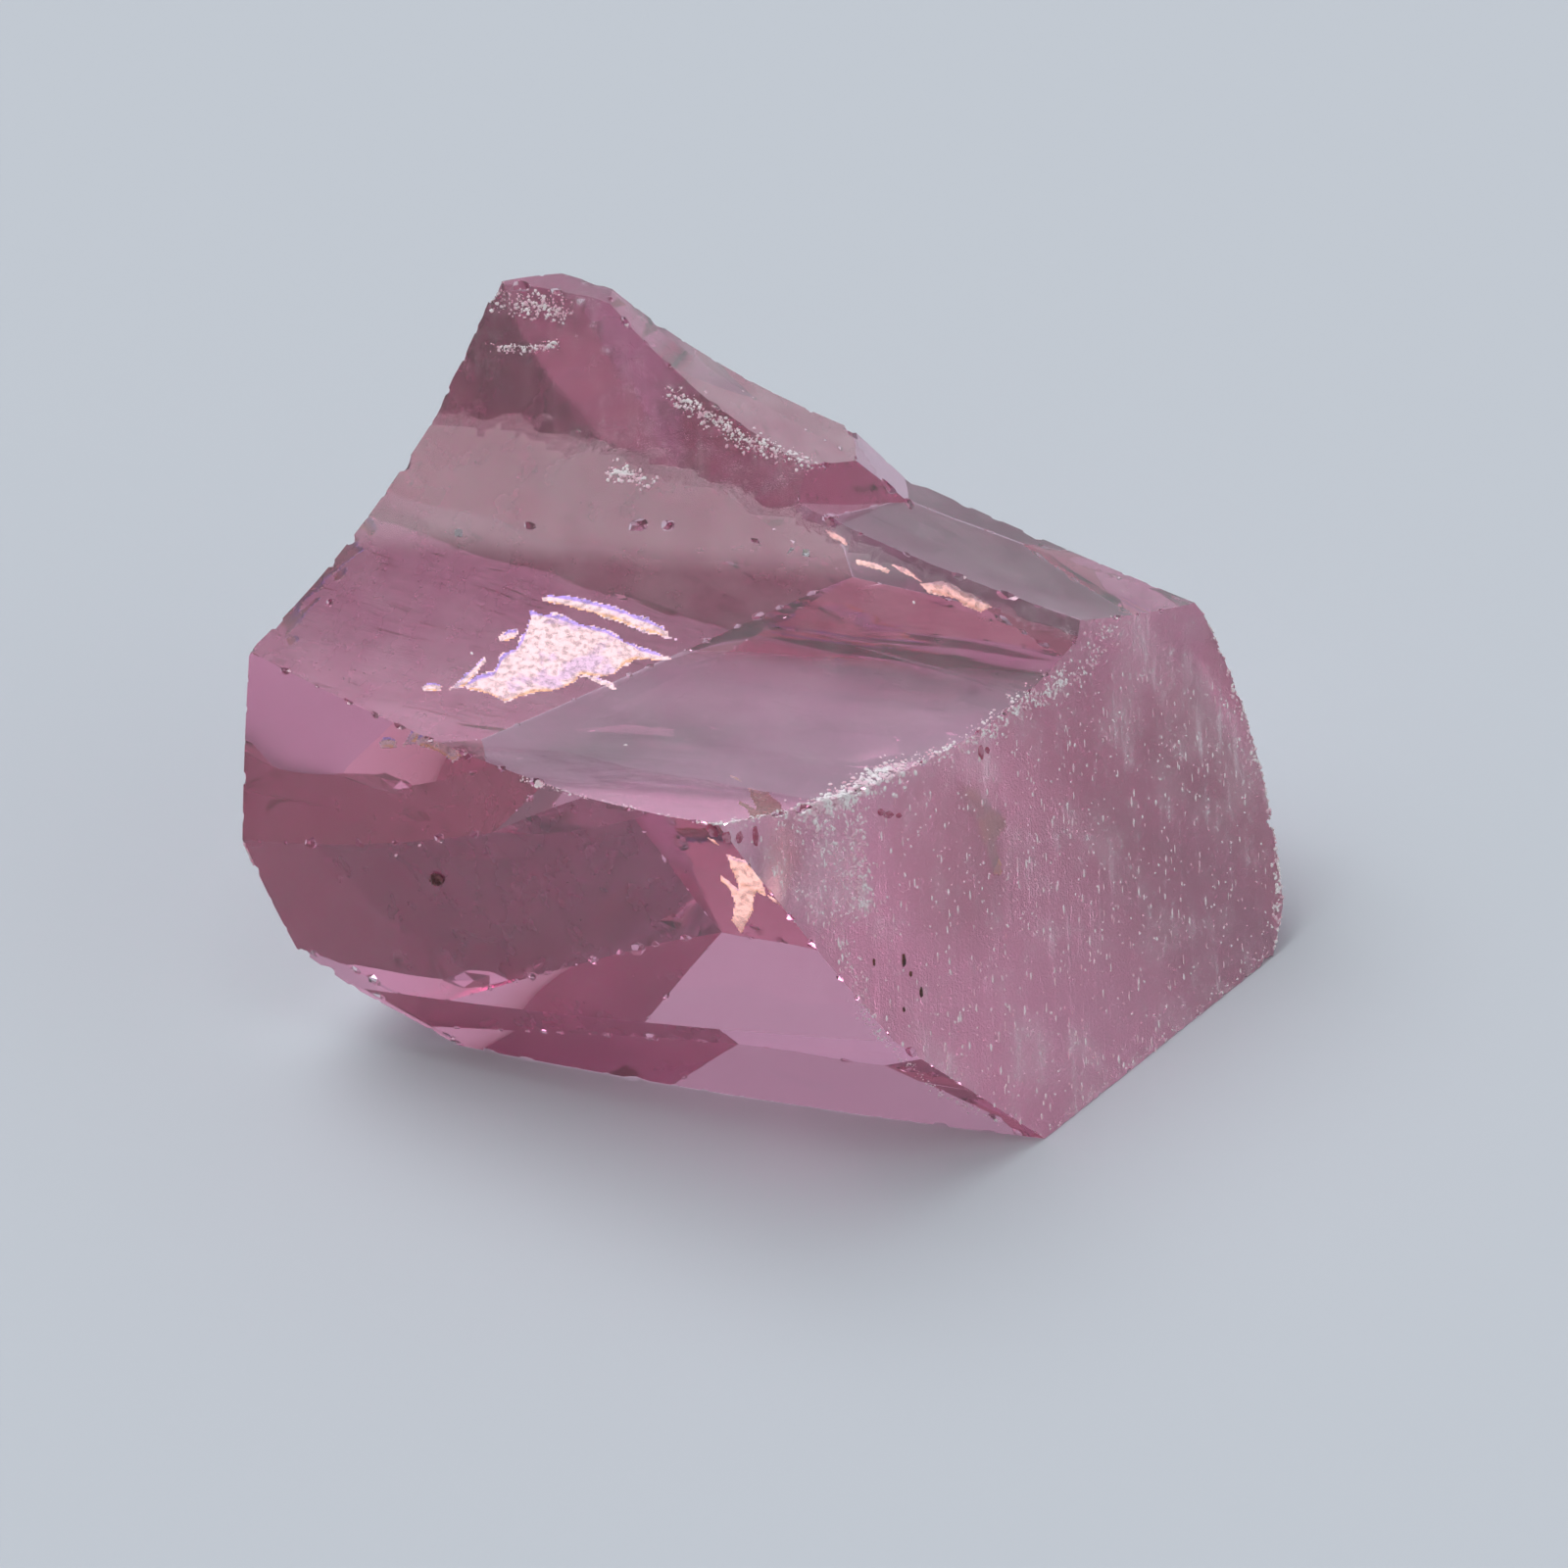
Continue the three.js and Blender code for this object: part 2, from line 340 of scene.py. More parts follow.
class Pebbles:
    """Many small uneven lumps, stamped from one ball and joined into one mesh."""

    def __init__(self, dice: random.Random, cells: int = 1) -> None:
        """Start an empty heap.

        Args:
            dice: Gives the lumps their unevenness.
            cells: How finely each lump is divided.
        """
        ball = bmesh.new()
        bmesh.ops.create_icosphere(ball, subdivisions=cells, radius=1.0)
        ball.verts.ensure_lookup_table()
        self.corners = [vert.co.copy() for vert in ball.verts]
        self.sides = [tuple(vert.index for vert in face.verts) for face in ball.faces]
        ball.free()
        self.dice = dice
        self.places: list[Vector] = []
        self.faces: list[tuple[int, ...]] = []

    def add(self, place: Matrix, radii: Triple) -> None:
        """Add one lump.

        Args:
            place: Where the lump goes and how it is turned.
            radii: Its half sizes before it is turned, in mm.
        """
        start = len(self.places)
        stamp = place @ Matrix.Diagonal((*radii, 1))
        self.places += [stamp @ (corner * self.dice.uniform(0.72, 1.15)) for corner in self.corners]
        self.faces += [tuple(start + index for index in side) for side in self.sides]

    def heap(self, name: str) -> bpy.types.Object:
        """Turn all the lumps into one object."""
        mesh = bpy.data.meshes.new(name)
        mesh.from_pydata(self.places, [], self.faces)
        return bpy.data.objects.new(name, mesh)


def saw_run(out: Vector) -> Vector:
    """Return the way that the saw ran over a face, steeply up it."""
    return out.cross(Vector((1.0, 0.05, 0.0))).normalized()


def saw_axes() -> Matrix:
    """Return the side, the run and the outward way of the sawn face, one in each row."""
    _, out = FACES["sawn"].plane()
    run = saw_run(out)
    return Matrix((run.cross(out), run, out))


def turn_to(out: Vector, spin: float) -> Matrix:
    """Return the turn that brings +Z to a direction, after a spin about +Z."""
    return (out.to_track_quat("Z", "Y").to_matrix() @ Matrix.Rotation(spin, 3, "Z")).to_4x4()


# ------------------------------------------------------------------------ nodes


class Wiring:
    """Adds nodes to a node tree and joins them."""

    def __init__(self, tree: bpy.types.NodeTree) -> None:
        """Keep the tree that the nodes go into."""
        self.tree = tree

    def put(self, value: Socket | float | Triple, socket: Socket) -> None:
        """Join a socket to another, or set a plain value on it."""
        if isinstance(value, bpy.types.NodeSocket):
            self.tree.links.new(value, socket)
        else:
            socket.default_value = value

    def math(self, operation: str, a: Socket | float, b: Socket | float = 0.0,
             clamp: bool = False) -> Socket:
        """Add a Math node and return its result."""
        node = self.tree.nodes.new("ShaderNodeMath")
        node.operation = operation
        node.use_clamp = clamp
        self.put(a, node.inputs[0])
        self.put(b, node.inputs[1])
        return node.outputs[0]

    def vector(self, operation: str, a: Socket | Triple,
               b: Socket | Triple = (0, 0, 0)) -> bpy.types.Node:
        """Add a Vector Math node and return it."""
        node = self.tree.nodes.new("ShaderNodeVectorMath")
        node.operation = operation
        self.put(a, node.inputs[0])
        self.put(b, node.inputs[1])
        return node

    def smooth(self, value: Socket, low: float, high: float, start: float = 0.0,
               end: float = 1.0) -> Socket:
        """Add a smooth step from start at low to end at high and return it."""
        node = self.tree.nodes.new("ShaderNodeMapRange")
        node.interpolation_type = "SMOOTHSTEP"
        self.put(value, node.inputs["Value"])
        if low > high:
            low, high, start, end = high, low, end, start
        limits = {"From Min": low, "From Max": high, "To Min": start, "To Max": end}
        for name, number in limits.items():
            node.inputs[name].default_value = number
        return node.outputs[0]

    def mix(self, factor: Socket | float, a: Socket | Colour, b: Socket | Colour) -> Socket:
        """Add a colour mix and return it."""
        node = self.tree.nodes.new("ShaderNodeMix")
        node.data_type = "RGBA"
        self.put(factor, node.inputs[0])
        self.put(a if isinstance(a, bpy.types.NodeSocket) else (*a, 1.0), node.inputs[6])
        self.put(b if isinstance(b, bpy.types.NodeSocket) else (*b, 1.0), node.inputs[7])
        return node.outputs[2]

    def noise(self, place: Socket, length: float, detail: float = 3.0,
              rough: float = 0.5) -> Socket:
        """Add a noise of a given grain, in metres, and return it."""
        node = self.tree.nodes.new("ShaderNodeTexNoise")
        self.put(place, node.inputs["Vector"])
        node.inputs["Scale"].default_value = 1.0 / length
        node.inputs["Detail"].default_value = detail
        node.inputs["Roughness"].default_value = rough
        return node.outputs[0]

    def object_place(self) -> Socket:
        """Add the piece's own coordinates and return them."""
        return self.tree.nodes.new("ShaderNodeTexCoord").outputs["Object"]

    def attribute(self, name: str) -> Socket:
        """Add a named attribute of the mesh and return its value."""
        node = self.tree.nodes.new("ShaderNodeAttribute")
        node.attribute_name = name
        return node.outputs["Fac"]

    def bump(self, height: Socket, distance: float, strength: float = 1.0) -> Socket:
        """Add a bump of a given depth, in metres, and return its normal."""
        node = self.tree.nodes.new("ShaderNodeBump")
        node.inputs["Distance"].default_value = distance
        node.inputs["Strength"].default_value = strength
        self.put(height, node.inputs["Height"])
        return node.outputs[0]


def new_material(name: str) -> tuple[bpy.types.Material, Wiring, bpy.types.Node]:
    """Start a material.

    Args:
        name: What the material is called.

    Returns:
        The material, the wiring of its nodes, and its main shader.
    """
    material = bpy.data.materials.new(name)
    material.use_nodes = True
    return material, Wiring(material.node_tree), material.node_tree.nodes["Principled BSDF"]


MATT = "matt"
DUST_AND_PAINTED_LIGHT = "dust_and_painted_light"
HUE = "hue"


@dataclass(frozen=True)
class PinkCrystalFinish:
    """The see-through crystal: glassy where it broke, frosted where it was sawn.

    Attributes:
        body: Tint of the glassy surface.
        haze: Tint of the ground surface.
        chalk: Tint of its thickest frost and flecks.
        absorbed: Colour that deep crystal keeps.
        density: How strongly it absorbs, per metre.
        ior: Refractive index of corundum.
        ground: Roughness of the sawn face.
    """

    body: Colour = (1.0, 0.975, 0.985)
    haze: Colour = (0.85, 0.65, 0.76)
    chalk: Colour = (0.97, 0.91, 0.95)
    absorbed: Colour = (0.88, 0.185, 0.53)
    density: float = 75.0
    ior: float = 1.77
    ground: float = 0.42

    def make(self) -> bpy.types.Material:
        """Make the material."""
        material, wires, shader = new_material("pink_crystal")
        place = wires.object_place()
        matt = wires.attribute(MATT)
        streaks = self.streaks(wires, place)
        cloud = wires.smooth(wires.noise(place, 1.9 * MM, 4.0, 0.6), 0.45, 0.66)
        grain = wires.noise(place, 0.05 * MM, 3.0, 0.65)
        self.frost(wires, shader, matt, streaks, cloud)
        shader.inputs["IOR"].default_value = self.ior
        height = wires.math("ADD", grain, wires.math("MULTIPLY", streaks, 0.5))
        height = wires.math("MULTIPLY", height, matt)
        ripple = wires.noise(place, 2.2 * MM, 1.0)
        height = wires.math("ADD", height, wires.math("MULTIPLY", ripple, 0.05))
        wires.put(wires.bump(height, 0.02 * MM), shader.inputs["Normal"])
        volume = material.node_tree.nodes.new("ShaderNodeVolumeAbsorption")
        volume.inputs["Color"].default_value = (*self.absorbed, 1.0)
        volume.inputs["Density"].default_value = self.density
        wires.put(volume.outputs[0], material.node_tree.nodes["Material Output"].inputs["Volume"])
        return material

    def streaks(self, wires: Wiring, place: Socket) -> Socket:
        """Return the fine scratches that run up the sawn face."""
        node = wires.tree.nodes.new("ShaderNodeMapping")
        wires.put(place, node.inputs["Vector"])
        node.inputs["Rotation"].default_value = saw_axes().to_euler()
        long = wires.vector("MULTIPLY", node.outputs[0], (1.0, 0.09, 1.0)).outputs[0]
        short = wires.vector("MULTIPLY", node.outputs[0], (1.0, 0.3, 1.0)).outputs[0]
        lines = wires.smooth(wires.noise(long, 0.17 * MM, 4.0, 0.6), 0.48, 0.72)
        dashes = wires.smooth(wires.noise(short, 0.09 * MM, 3.0, 0.6), 0.55, 0.75)
        lines = wires.math("MULTIPLY", lines, 0.6)
        return wires.math("ADD", lines, wires.math("MULTIPLY", dashes, 0.6), clamp=True)

    def frost(self, wires: Wiring, shader: bpy.types.Node, matt: Socket, streaks: Socket,
              cloud: Socket) -> None:
        """Whiten and roughen the ground surface, and lay pale dusting and painted pale light on the
        rest.

        Args:
            wires: The wiring of the material.
            shader: Its main shader.
            matt: How frosted each place is.
            streaks: The saw's scratches.
            cloud: Where the frost is thickest.
        """
        patchy = wires.math("ADD", wires.math("MULTIPLY", cloud, 0.7), 0.3)
        white = wires.math("MULTIPLY", streaks, patchy)
        white = wires.math("ADD", white, wires.math("MULTIPLY", cloud, 0.16))
        white = wires.math("ADD", wires.math("MULTIPLY", white, 0.6), 0.12)
        fleck = wires.smooth(wires.noise(wires.object_place(), 0.09 * MM, 2.0, 0.6), 0.6, 0.7)
        fleck = wires.math("MULTIPLY", fleck, patchy)
        white = wires.math("ADD", white, wires.math("MULTIPLY", fleck, 0.5))
        white = wires.math("MULTIPLY", white, matt, clamp=True)
        # Pale dusting and scuffing on the glassy faces, partly painted light: a pale haze that
        # lifts them and lowers their contrast.
        scuffs = wires.noise(wires.object_place(), 0.9 * MM, 4.0, 0.6)
        scuffs = wires.smooth(scuffs, 0.25, 0.75, 0.7, 1.3)
        painted_light_and_dust = wires.math("MULTIPLY", wires.attribute(DUST_AND_PAINTED_LIGHT), scuffs)
        white = wires.math("ADD", white, painted_light_and_dust, clamp=True)
        clear = wires.math("SUBTRACT", 1.0, white, clamp=True)
        wires.put(clear, shader.inputs["Transmission Weight"])
        pale = wires.math("ADD", wires.math("MULTIPLY", cloud, 0.45), fleck, clamp=True)
        ground = wires.mix(pale, self.haze, self.chalk)
        wires.put(wires.mix(matt, self.body, ground), shader.inputs["Base Color"])
        rough = wires.math("ADD", wires.math("MULTIPLY", matt, self.ground), 0.01)
        wires.put(rough, shader.inputs["Roughness"])


@dataclass(frozen=True)
class CrushedFinish:
    """Crushed crystal: white flakes with a breath of pink.

    Attributes:
        white: Colour of the palest flakes.
        pink: Colour of the clearest flakes.
    """

    white: Colour = (0.95, 0.91, 0.93)
    pink: Colour = (0.85, 0.58, 0.68)

    def make(self) -> bpy.types.Material:
        """Make the material."""
        material, wires, shader = new_material("crushed_crystal")
        place = wires.object_place()
        tone = wires.smooth(wires.noise(place, 0.25 * MM, 2.0), 0.42, 0.62)
        wires.put(wires.mix(tone, self.white, self.pink), shader.inputs["Base Color"])
        grain = wires.noise(place, 0.02 * MM, 2.0)
        wires.put(wires.smooth(grain, 0.3, 0.7, 0.3, 0.6), shader.inputs["Roughness"])
        wires.put(wires.bump(grain, 0.01 * MM), shader.inputs["Normal"])
        return material


@dataclass(frozen=True)
class GrainFinish:
    """A small opaque grain in two tones.

    Attributes:
        name: What the material is called.
        deep: Colour of its thickest places.
        pale: Colour of its thinnest places.
        patch: Size of the patches of tone, in mm.
        turn: Least and most noise, between which deep turns into pale.
        rough: Least and most roughness.
        pits: Size of the pits in it, in mm, or 0 for none.
        pit_depth: Their depth, in mm.
    """

    name: str
    deep: Colour
    pale: Colour
    patch: float
    turn: tuple[float, float]
    rough: tuple[float, float]
    pits: float = 0.0
    pit_depth: float = 0.02

    def make(self) -> bpy.types.Material:
        """Make the material."""
        material, wires, shader = new_material(self.name)
        place = wires.object_place()
        tone = wires.smooth(wires.noise(place, self.patch * MM), *self.turn)
        wires.put(wires.mix(tone, self.deep, self.pale), shader.inputs["Base Color"])
        wires.put(wires.smooth(tone, 0.0, 1.0, *self.rough), shader.inputs["Roughness"])
        if self.pits:
            pits = wires.noise(place, self.pits * MM)
            wires.put(wires.bump(pits, self.pit_depth * MM), shader.inputs["Normal"])
        return material


RUST = GrainFinish(
    "rust", (0.045, 0.018, 0.014), (0.16, 0.07, 0.045), 0.08, (0.4, 0.65), (0.5, 0.8), 0.03)
# Painted shade: these dark red tones stand in for the shade seen in chipped facets along the
# ridges.
CHIP_SHADE_FINISH = GrainFinish(
    "painted_chip_shade", (0.40, 0.09, 0.16), (0.56, 0.24, 0.34), 0.12, (0.45, 0.65), (0.12, 0.35), 0.05)
DARK_GRAIN = GrainFinish(
    "dark_grain", (0.09, 0.03, 0.035), (0.22, 0.08, 0.09), 0.1, (0.4, 0.7), (0.25, 0.5))


@dataclass(frozen=True)
class FeatherFinish:
    """The bright film of a healed crack, which shifts in hue from edge to edge.

    Attributes:
        name: What the material is called.
        core: Colour of its middle.
        patch: Colour of the cooler patches in its middle.
        low: Colour along its lower edge.
        high: Colour along its upper edge.
        rough: Least and most roughness.
    """

    name: str
    core: Colour
    patch: Colour
    low: Colour
    high: Colour
    rough: tuple[float, float] = (0.05, 0.22)

    def make(self) -> bpy.types.Material:
        """Make the material."""
        material, wires, shader = new_material(self.name)
        place = wires.object_place()
        drift = wires.math("MULTIPLY", wires.noise(place, 0.3 * MM, 4.0, 0.6), 0.4)
        hue = wires.math("ADD", wires.math("SUBTRACT", drift, 0.2), wires.attribute(HUE))
        patch = wires.smooth(wires.noise(place, 0.55 * MM, 3.0), 0.5, 0.62)
        tint = wires.mix(patch, self.core, self.patch)
        tint = wires.mix(wires.smooth(hue, 0.3, 0.05), tint, self.low)
        tint = wires.mix(wires.smooth(hue, 0.62, 0.85), tint, self.high)
        wires.put(tint, shader.inputs["Base Color"])
        shader.inputs["Metallic"].default_value = 1.0
        grain = wires.noise(place, 0.12 * MM, 3.0)
        wires.put(wires.smooth(grain, 0.35, 0.7, *self.rough), shader.inputs["Roughness"])
        wires.put(wires.bump(grain, 0.0015 * MM), shader.inputs["Normal"])
        return material


# ------------------------------------------------------------------------ the crystal


@dataclass
class Crystal:
    """The broken crystal itself.

    Attributes:
        block: Width, depth and height of the block that it is knapped from, in mm.
        middle: Middle of that block, in mm.
        bite_spacing: Least distance between two bites along the edges, in mm.
        bite_radius: Smallest and largest bite, in mm.
        bite_out: How far outside the edge a bite's middle lies, in its radii.
        bite_long: How long it is along the edge, in its radii.
        weld: Points closer than this are made one, in mm.
        sharp: Least angle of an edge that gets bites, in degrees.
        crease: Angle under which the surface is shaded as one, in degrees.
        skin: Furthest that a small face may lie from the scar it belongs to, in mm.
        level: Least cosine between that small face and the scar.
        finish: What it is made of.
    """

    block: Triple = (23.0, 18.0, 12.5)
    middle: Triple = (-0.5, 2.8, 5.6)
    bite_spacing: float = 0.55
    bite_radius: tuple[float, float] = (0.05, 0.22)
    bite_out: tuple[float, float] = (0.25, 0.75)
    bite_long: tuple[float, float] = (0.9, 1.8)
    weld: float = 1e-3
    sharp: float = 28.0
    crease: float = 12.0
    skin: float = 0.05
    level: float = 0.93
    finish: PinkCrystalFinish = field(default_factory=PinkCrystalFinish)
    piece: bpy.types.Object | None = None

    def knap(self) -> None:
        """Break the block to shape, one face after another."""
        shape = bmesh.new()
        bmesh.ops.create_cube(shape, size=1.0)
        shape.transform(Matrix.Translation(self.middle) @ Matrix.Diagonal((*self.block, 1)))
        stone = as_object(shape, "crystal")
        stone = combine(stone, [FACES[name].cutter() for name in BROKEN_OFF], Join.CUT)
        for floor, wall in STRUCK_OUT:
            above = combine(FACES[floor].cutter(), [FACES[wall].cutter()], Join.SHARE)
            stone = combine(stone, [above], Join.CUT)
        self.piece = combine(stone, [self.bites(stone)], Join.CUT)

    def bites(self, stone: bpy.types.Object) -> bpy.types.Object:
        """Build the small bites that are taken out of the sharp edges.

        Args:
            stone: The stone whose edges are bitten.

        Returns:
            All the bites as one object, none touching another.
        """
        dice = random.Random(11)
        shape = bmesh.new()
        shape.from_mesh(stone.data)
        bmesh.ops.remove_doubles(shape, verts=shape.verts, dist=1e-4)
        shape.normal_update()
        least = math.radians(self.sharp)
        places = []
        for edge in shape.edges:
            if len(edge.link_faces) == 2 and edge.calc_face_angle(0.0) > least:
                start, end = (vert.co for vert in edge.verts)
                out = (edge.link_faces[0].normal + edge.link_faces[1].normal).normalized()
                if edge.calc_face_angle_signed(0.0) > 0:
                    places.append(((start + end) / 2, out, (start - end).normalized()))
        shape.free()
        dice.shuffle(places)
        taken: list[Vector] = []
        tool = Pebbles(dice, 2)
        for at, out, along in places:
            if any((at - other).length < self.bite_spacing for other in taken):
                continue
            taken.append(at)
            low, high = self.bite_radius
            radius = low + (high - low) * dice.random() ** 2
            centre = at + out * radius * dice.uniform(*self.bite_out)
            turn = Matrix((along, out.cross(along), out)).transposed().to_4x4()
            long = radius * dice.uniform(*self.bite_long)
            tool.add(Matrix.Translation(centre) @ turn, (long, radius, radius))
        LOG.info("bites: %d", len(taken))
        return tool.heap("bites")

    def settle(self) -> Vector:
        """Find the move that puts the stone on the CAD solid's place.

        Returns:
            The move, in mm.
        """
        low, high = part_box(NODE)
        middle = [(low[i] + high[i]) / 2 / MM for i in range(3)]
        place = np.array([vert.co[:] for vert in self.piece.data.vertices])
        found = (place.min(0) + place.max(0)) / 2
        return Vector(middle[i] - found[i] if i < 2 else -place[:, 2].min() for i in range(3))

    def mark(self) -> None:
        """Write on each small face how frosted it is, and how much pale dusting and painted light
        lies on it.
        """
        data = self.piece.data
        matt = np.zeros(len(data.polygons), dtype=np.float32)
        dust_and_painted_light = np.full(len(data.polygons), BrokenFace.dust_and_painted_light, dtype=np.float32)
        centre = np.empty(len(data.polygons) * 3, dtype=np.float32)
        data.polygons.foreach_get("center", centre)
        centre = centre.reshape(-1, 3)
        normal = np.array([polygon.normal[:] for polygon in data.polygons])
        for face in (face for face in FACES.values() if face.matt or face.dust_and_painted_light != BrokenFace.dust_and_painted_light):
            axes = np.array(face.axes())
            local = np.linalg.inv(axes)
            across, up, above = (centre @ local[:3, :3].T + local[:3, 3]).astype(float).T
            lean = np.column_stack([-face.bend[0] * across, -face.bend[1] * up, np.ones(len(up))])
            lean /= np.linalg.norm(lean, axis=1, keepdims=True)
            own = np.abs(above - face.heights(across, up)) < self.skin
            own &= np.sum(normal @ axes[:3, :3] * lean, axis=1) > self.level
            clear = 1.0 - DISH_SHEEN * np.minimum(1.0, 2.0 * face.in_dish(across, up))
            matt[own] = (face.matt * clear)[own]
            dust_and_painted_light[own] = face.dust_and_painted_light
        data.attributes.new(MATT, "FLOAT", "FACE").data.foreach_set("value", matt)
        data.attributes.new(DUST_AND_PAINTED_LIGHT, "FLOAT", "FACE").data.foreach_set("value", dust_and_painted_light)

    def finish_mesh(self) -> None:
        """Weld the mesh and shade its broad faces smooth."""
        shape = bmesh.new()
        shape.from_mesh(self.piece.data)
        bmesh.ops.remove_doubles(shape, verts=shape.verts, dist=self.weld)
        bmesh.ops.dissolve_degenerate(shape, edges=shape.edges, dist=self.weld)
        bmesh.ops.triangulate(shape, faces=shape.faces)
        shape.to_mesh(self.piece.data)
        shape.free()
        self.piece.data.shade_smooth()
        self.piece.data.set_sharp_from_angle(angle=math.radians(self.crease))

    def build(self) -> Vector:
        """Build and dress the stone, and return how far it has to be moved, in mm."""
        self.knap()
        self.finish_mesh()
        self.mark()
        shift = self.settle()
        self.piece.data.materials.append(self.finish.make())
        return shift


# ------------------------------------------------------------------------ crumbs and specks


@dataclass(frozen=True)
class Seam:
    """A line of crushed crumbs.

    Attributes:
        path: The corners of the line, in mm.
        count: How many crumbs lie along it.
        spread: How far they stray from it, in mm.
        size: Smallest and largest half size, in mm.
    """

    path: tuple[Triple, ...]
    count: int
    spread: float = 0.1
    size: tuple[float, float] = (0.03, 0.1)

    def places(self, dice: random.Random) -> list[Vector]:
        """Return one stray place along the line for each crumb."""
        points = [Vector(point) for point in self.path]
        lengths = [(b - a).length for a, b in zip(points, points[1:])]
        found = []
        for _ in range(self.count):
            part = dice.choices(range(len(lengths)), lengths)[0]
            at = points[part].lerp(points[part + 1], dice.random())
            found.append(at + Vector([dice.gauss(0, self.spread) for _ in range(3)]))
        return found


SEAMS = (
    Seam(((-1.35, -4.6, 7.75), (0.0, -3.7, 7.2), (0.83, -3.07, 6.9)), 260, 0.08, (0.012, 0.045)),
    Seam(((0.5, -3.3, 7.0), (0.83, -3.07, 6.9), (1.85, -1.71, 6.57), (2.2, -1.4, 6.5)),
         900, 0.15, (0.015, 0.07)),
    Seam(((2.2, -1.4, 6.5), (3.56, -0.28, 6.28), (4.52, 0.83, 6.26), (5.6, 1.96, 6.12)),
         420, 0.1, (0.012, 0.055)),
    Seam(((4.3, 0.6, 6.2), (5.6, 1.96, 6.12), (6.5, 3.24, 6.36)), 300, 0.15, (0.012, 0.05)),
    Seam(((0.4, -3.6, 6.9), (1.0, -3.5, 6.2), (1.3, -4.2, 5.0)), 420, 0.28, (0.01, 0.04)),
    Seam(((1.3, -2.7, 6.4), (1.4, -3.3, 5.7), (1.5, -3.9, 5.0)), 320, 0.14, (0.012, 0.055)),
    Seam(((-2.2, 6.28, 9.82), (-1.53, 5.95, 9.47), (-0.77, 5.61, 9.12), (0.57, 5.39, 8.69)),
         420, 0.1, (0.012, 0.055)),
    Seam(((-5.6, 7.4, 11.2), (-4.9, 7.4, 11.15), (-4.3, 7.3, 11.0)), 300, 0.14, (0.012, 0.05)),
    Seam(((-5.7, 6.9, 10.4), (-5.08, 6.88, 10.39), (-4.4, 6.95, 10.5)), 160, 0.05, (0.012, 0.045)),
    Seam(((-3.4, 5.1, 8.7), (-2.7, 5.0, 8.65)), 160, 0.08, (0.012, 0.06)),
    Seam(((-11.0, -1.3, 3.8), (-10.8, -1.3, 4.3)), 90, 0.1, (0.012, 0.05)),
    Seam(((-5.1, -3.05, 7.5), (-3.2, -3.8, 7.6), (-1.35, -4.6, 7.75)), 180, 0.05, (0.008, 0.03)),
    Seam(((-0.27, -4.43, 6.62), (1.05, -4.46, 4.99), (1.56, -5.2, 3.46)), 240, 0.1, (0.01, 0.04)),
    Seam(((1.56, -5.2, 3.46), (2.99, -4.71, 1.15), (4.26, -4.64, 0.34)), 160, 0.07, (0.01, 0.035)),
    Seam(((8.38, 4.81, 5.71), (8.96, 4.04, 4.21), (9.54, 3.35, 2.79), (9.88, 2.57, 1.56),
         (9.79, 1.01, 0.1)), 420, 0.09, (0.015, 0.07)),
    Seam(((9.79, 1.01, 0.1), (7.4, -1.81, 0.1), (5.02, -4.56, 0.1)), 220, 0.05, (0.01, 0.035)),
)

DUST: tuple[Triple, ...] = (
    (2.5, 3.1, 6.9), (-6.9, -2.7, 5.6), (-7.4, -2.6, 5.2), (-6.0, 1.0, 7.2), (-3.0, -1.4, 6.9),
)
DUST_RADII = (0.05, 0.03, 0.02)


def surface_of(stone: bpy.types.Object) -> BVHTree:
    """Return a search tree of the stone's surface."""
    return BVHTree.FromPolygons(
        [vert.co for vert in stone.data.vertices],
        [polygon.vertices for polygon in stone.data.polygons])


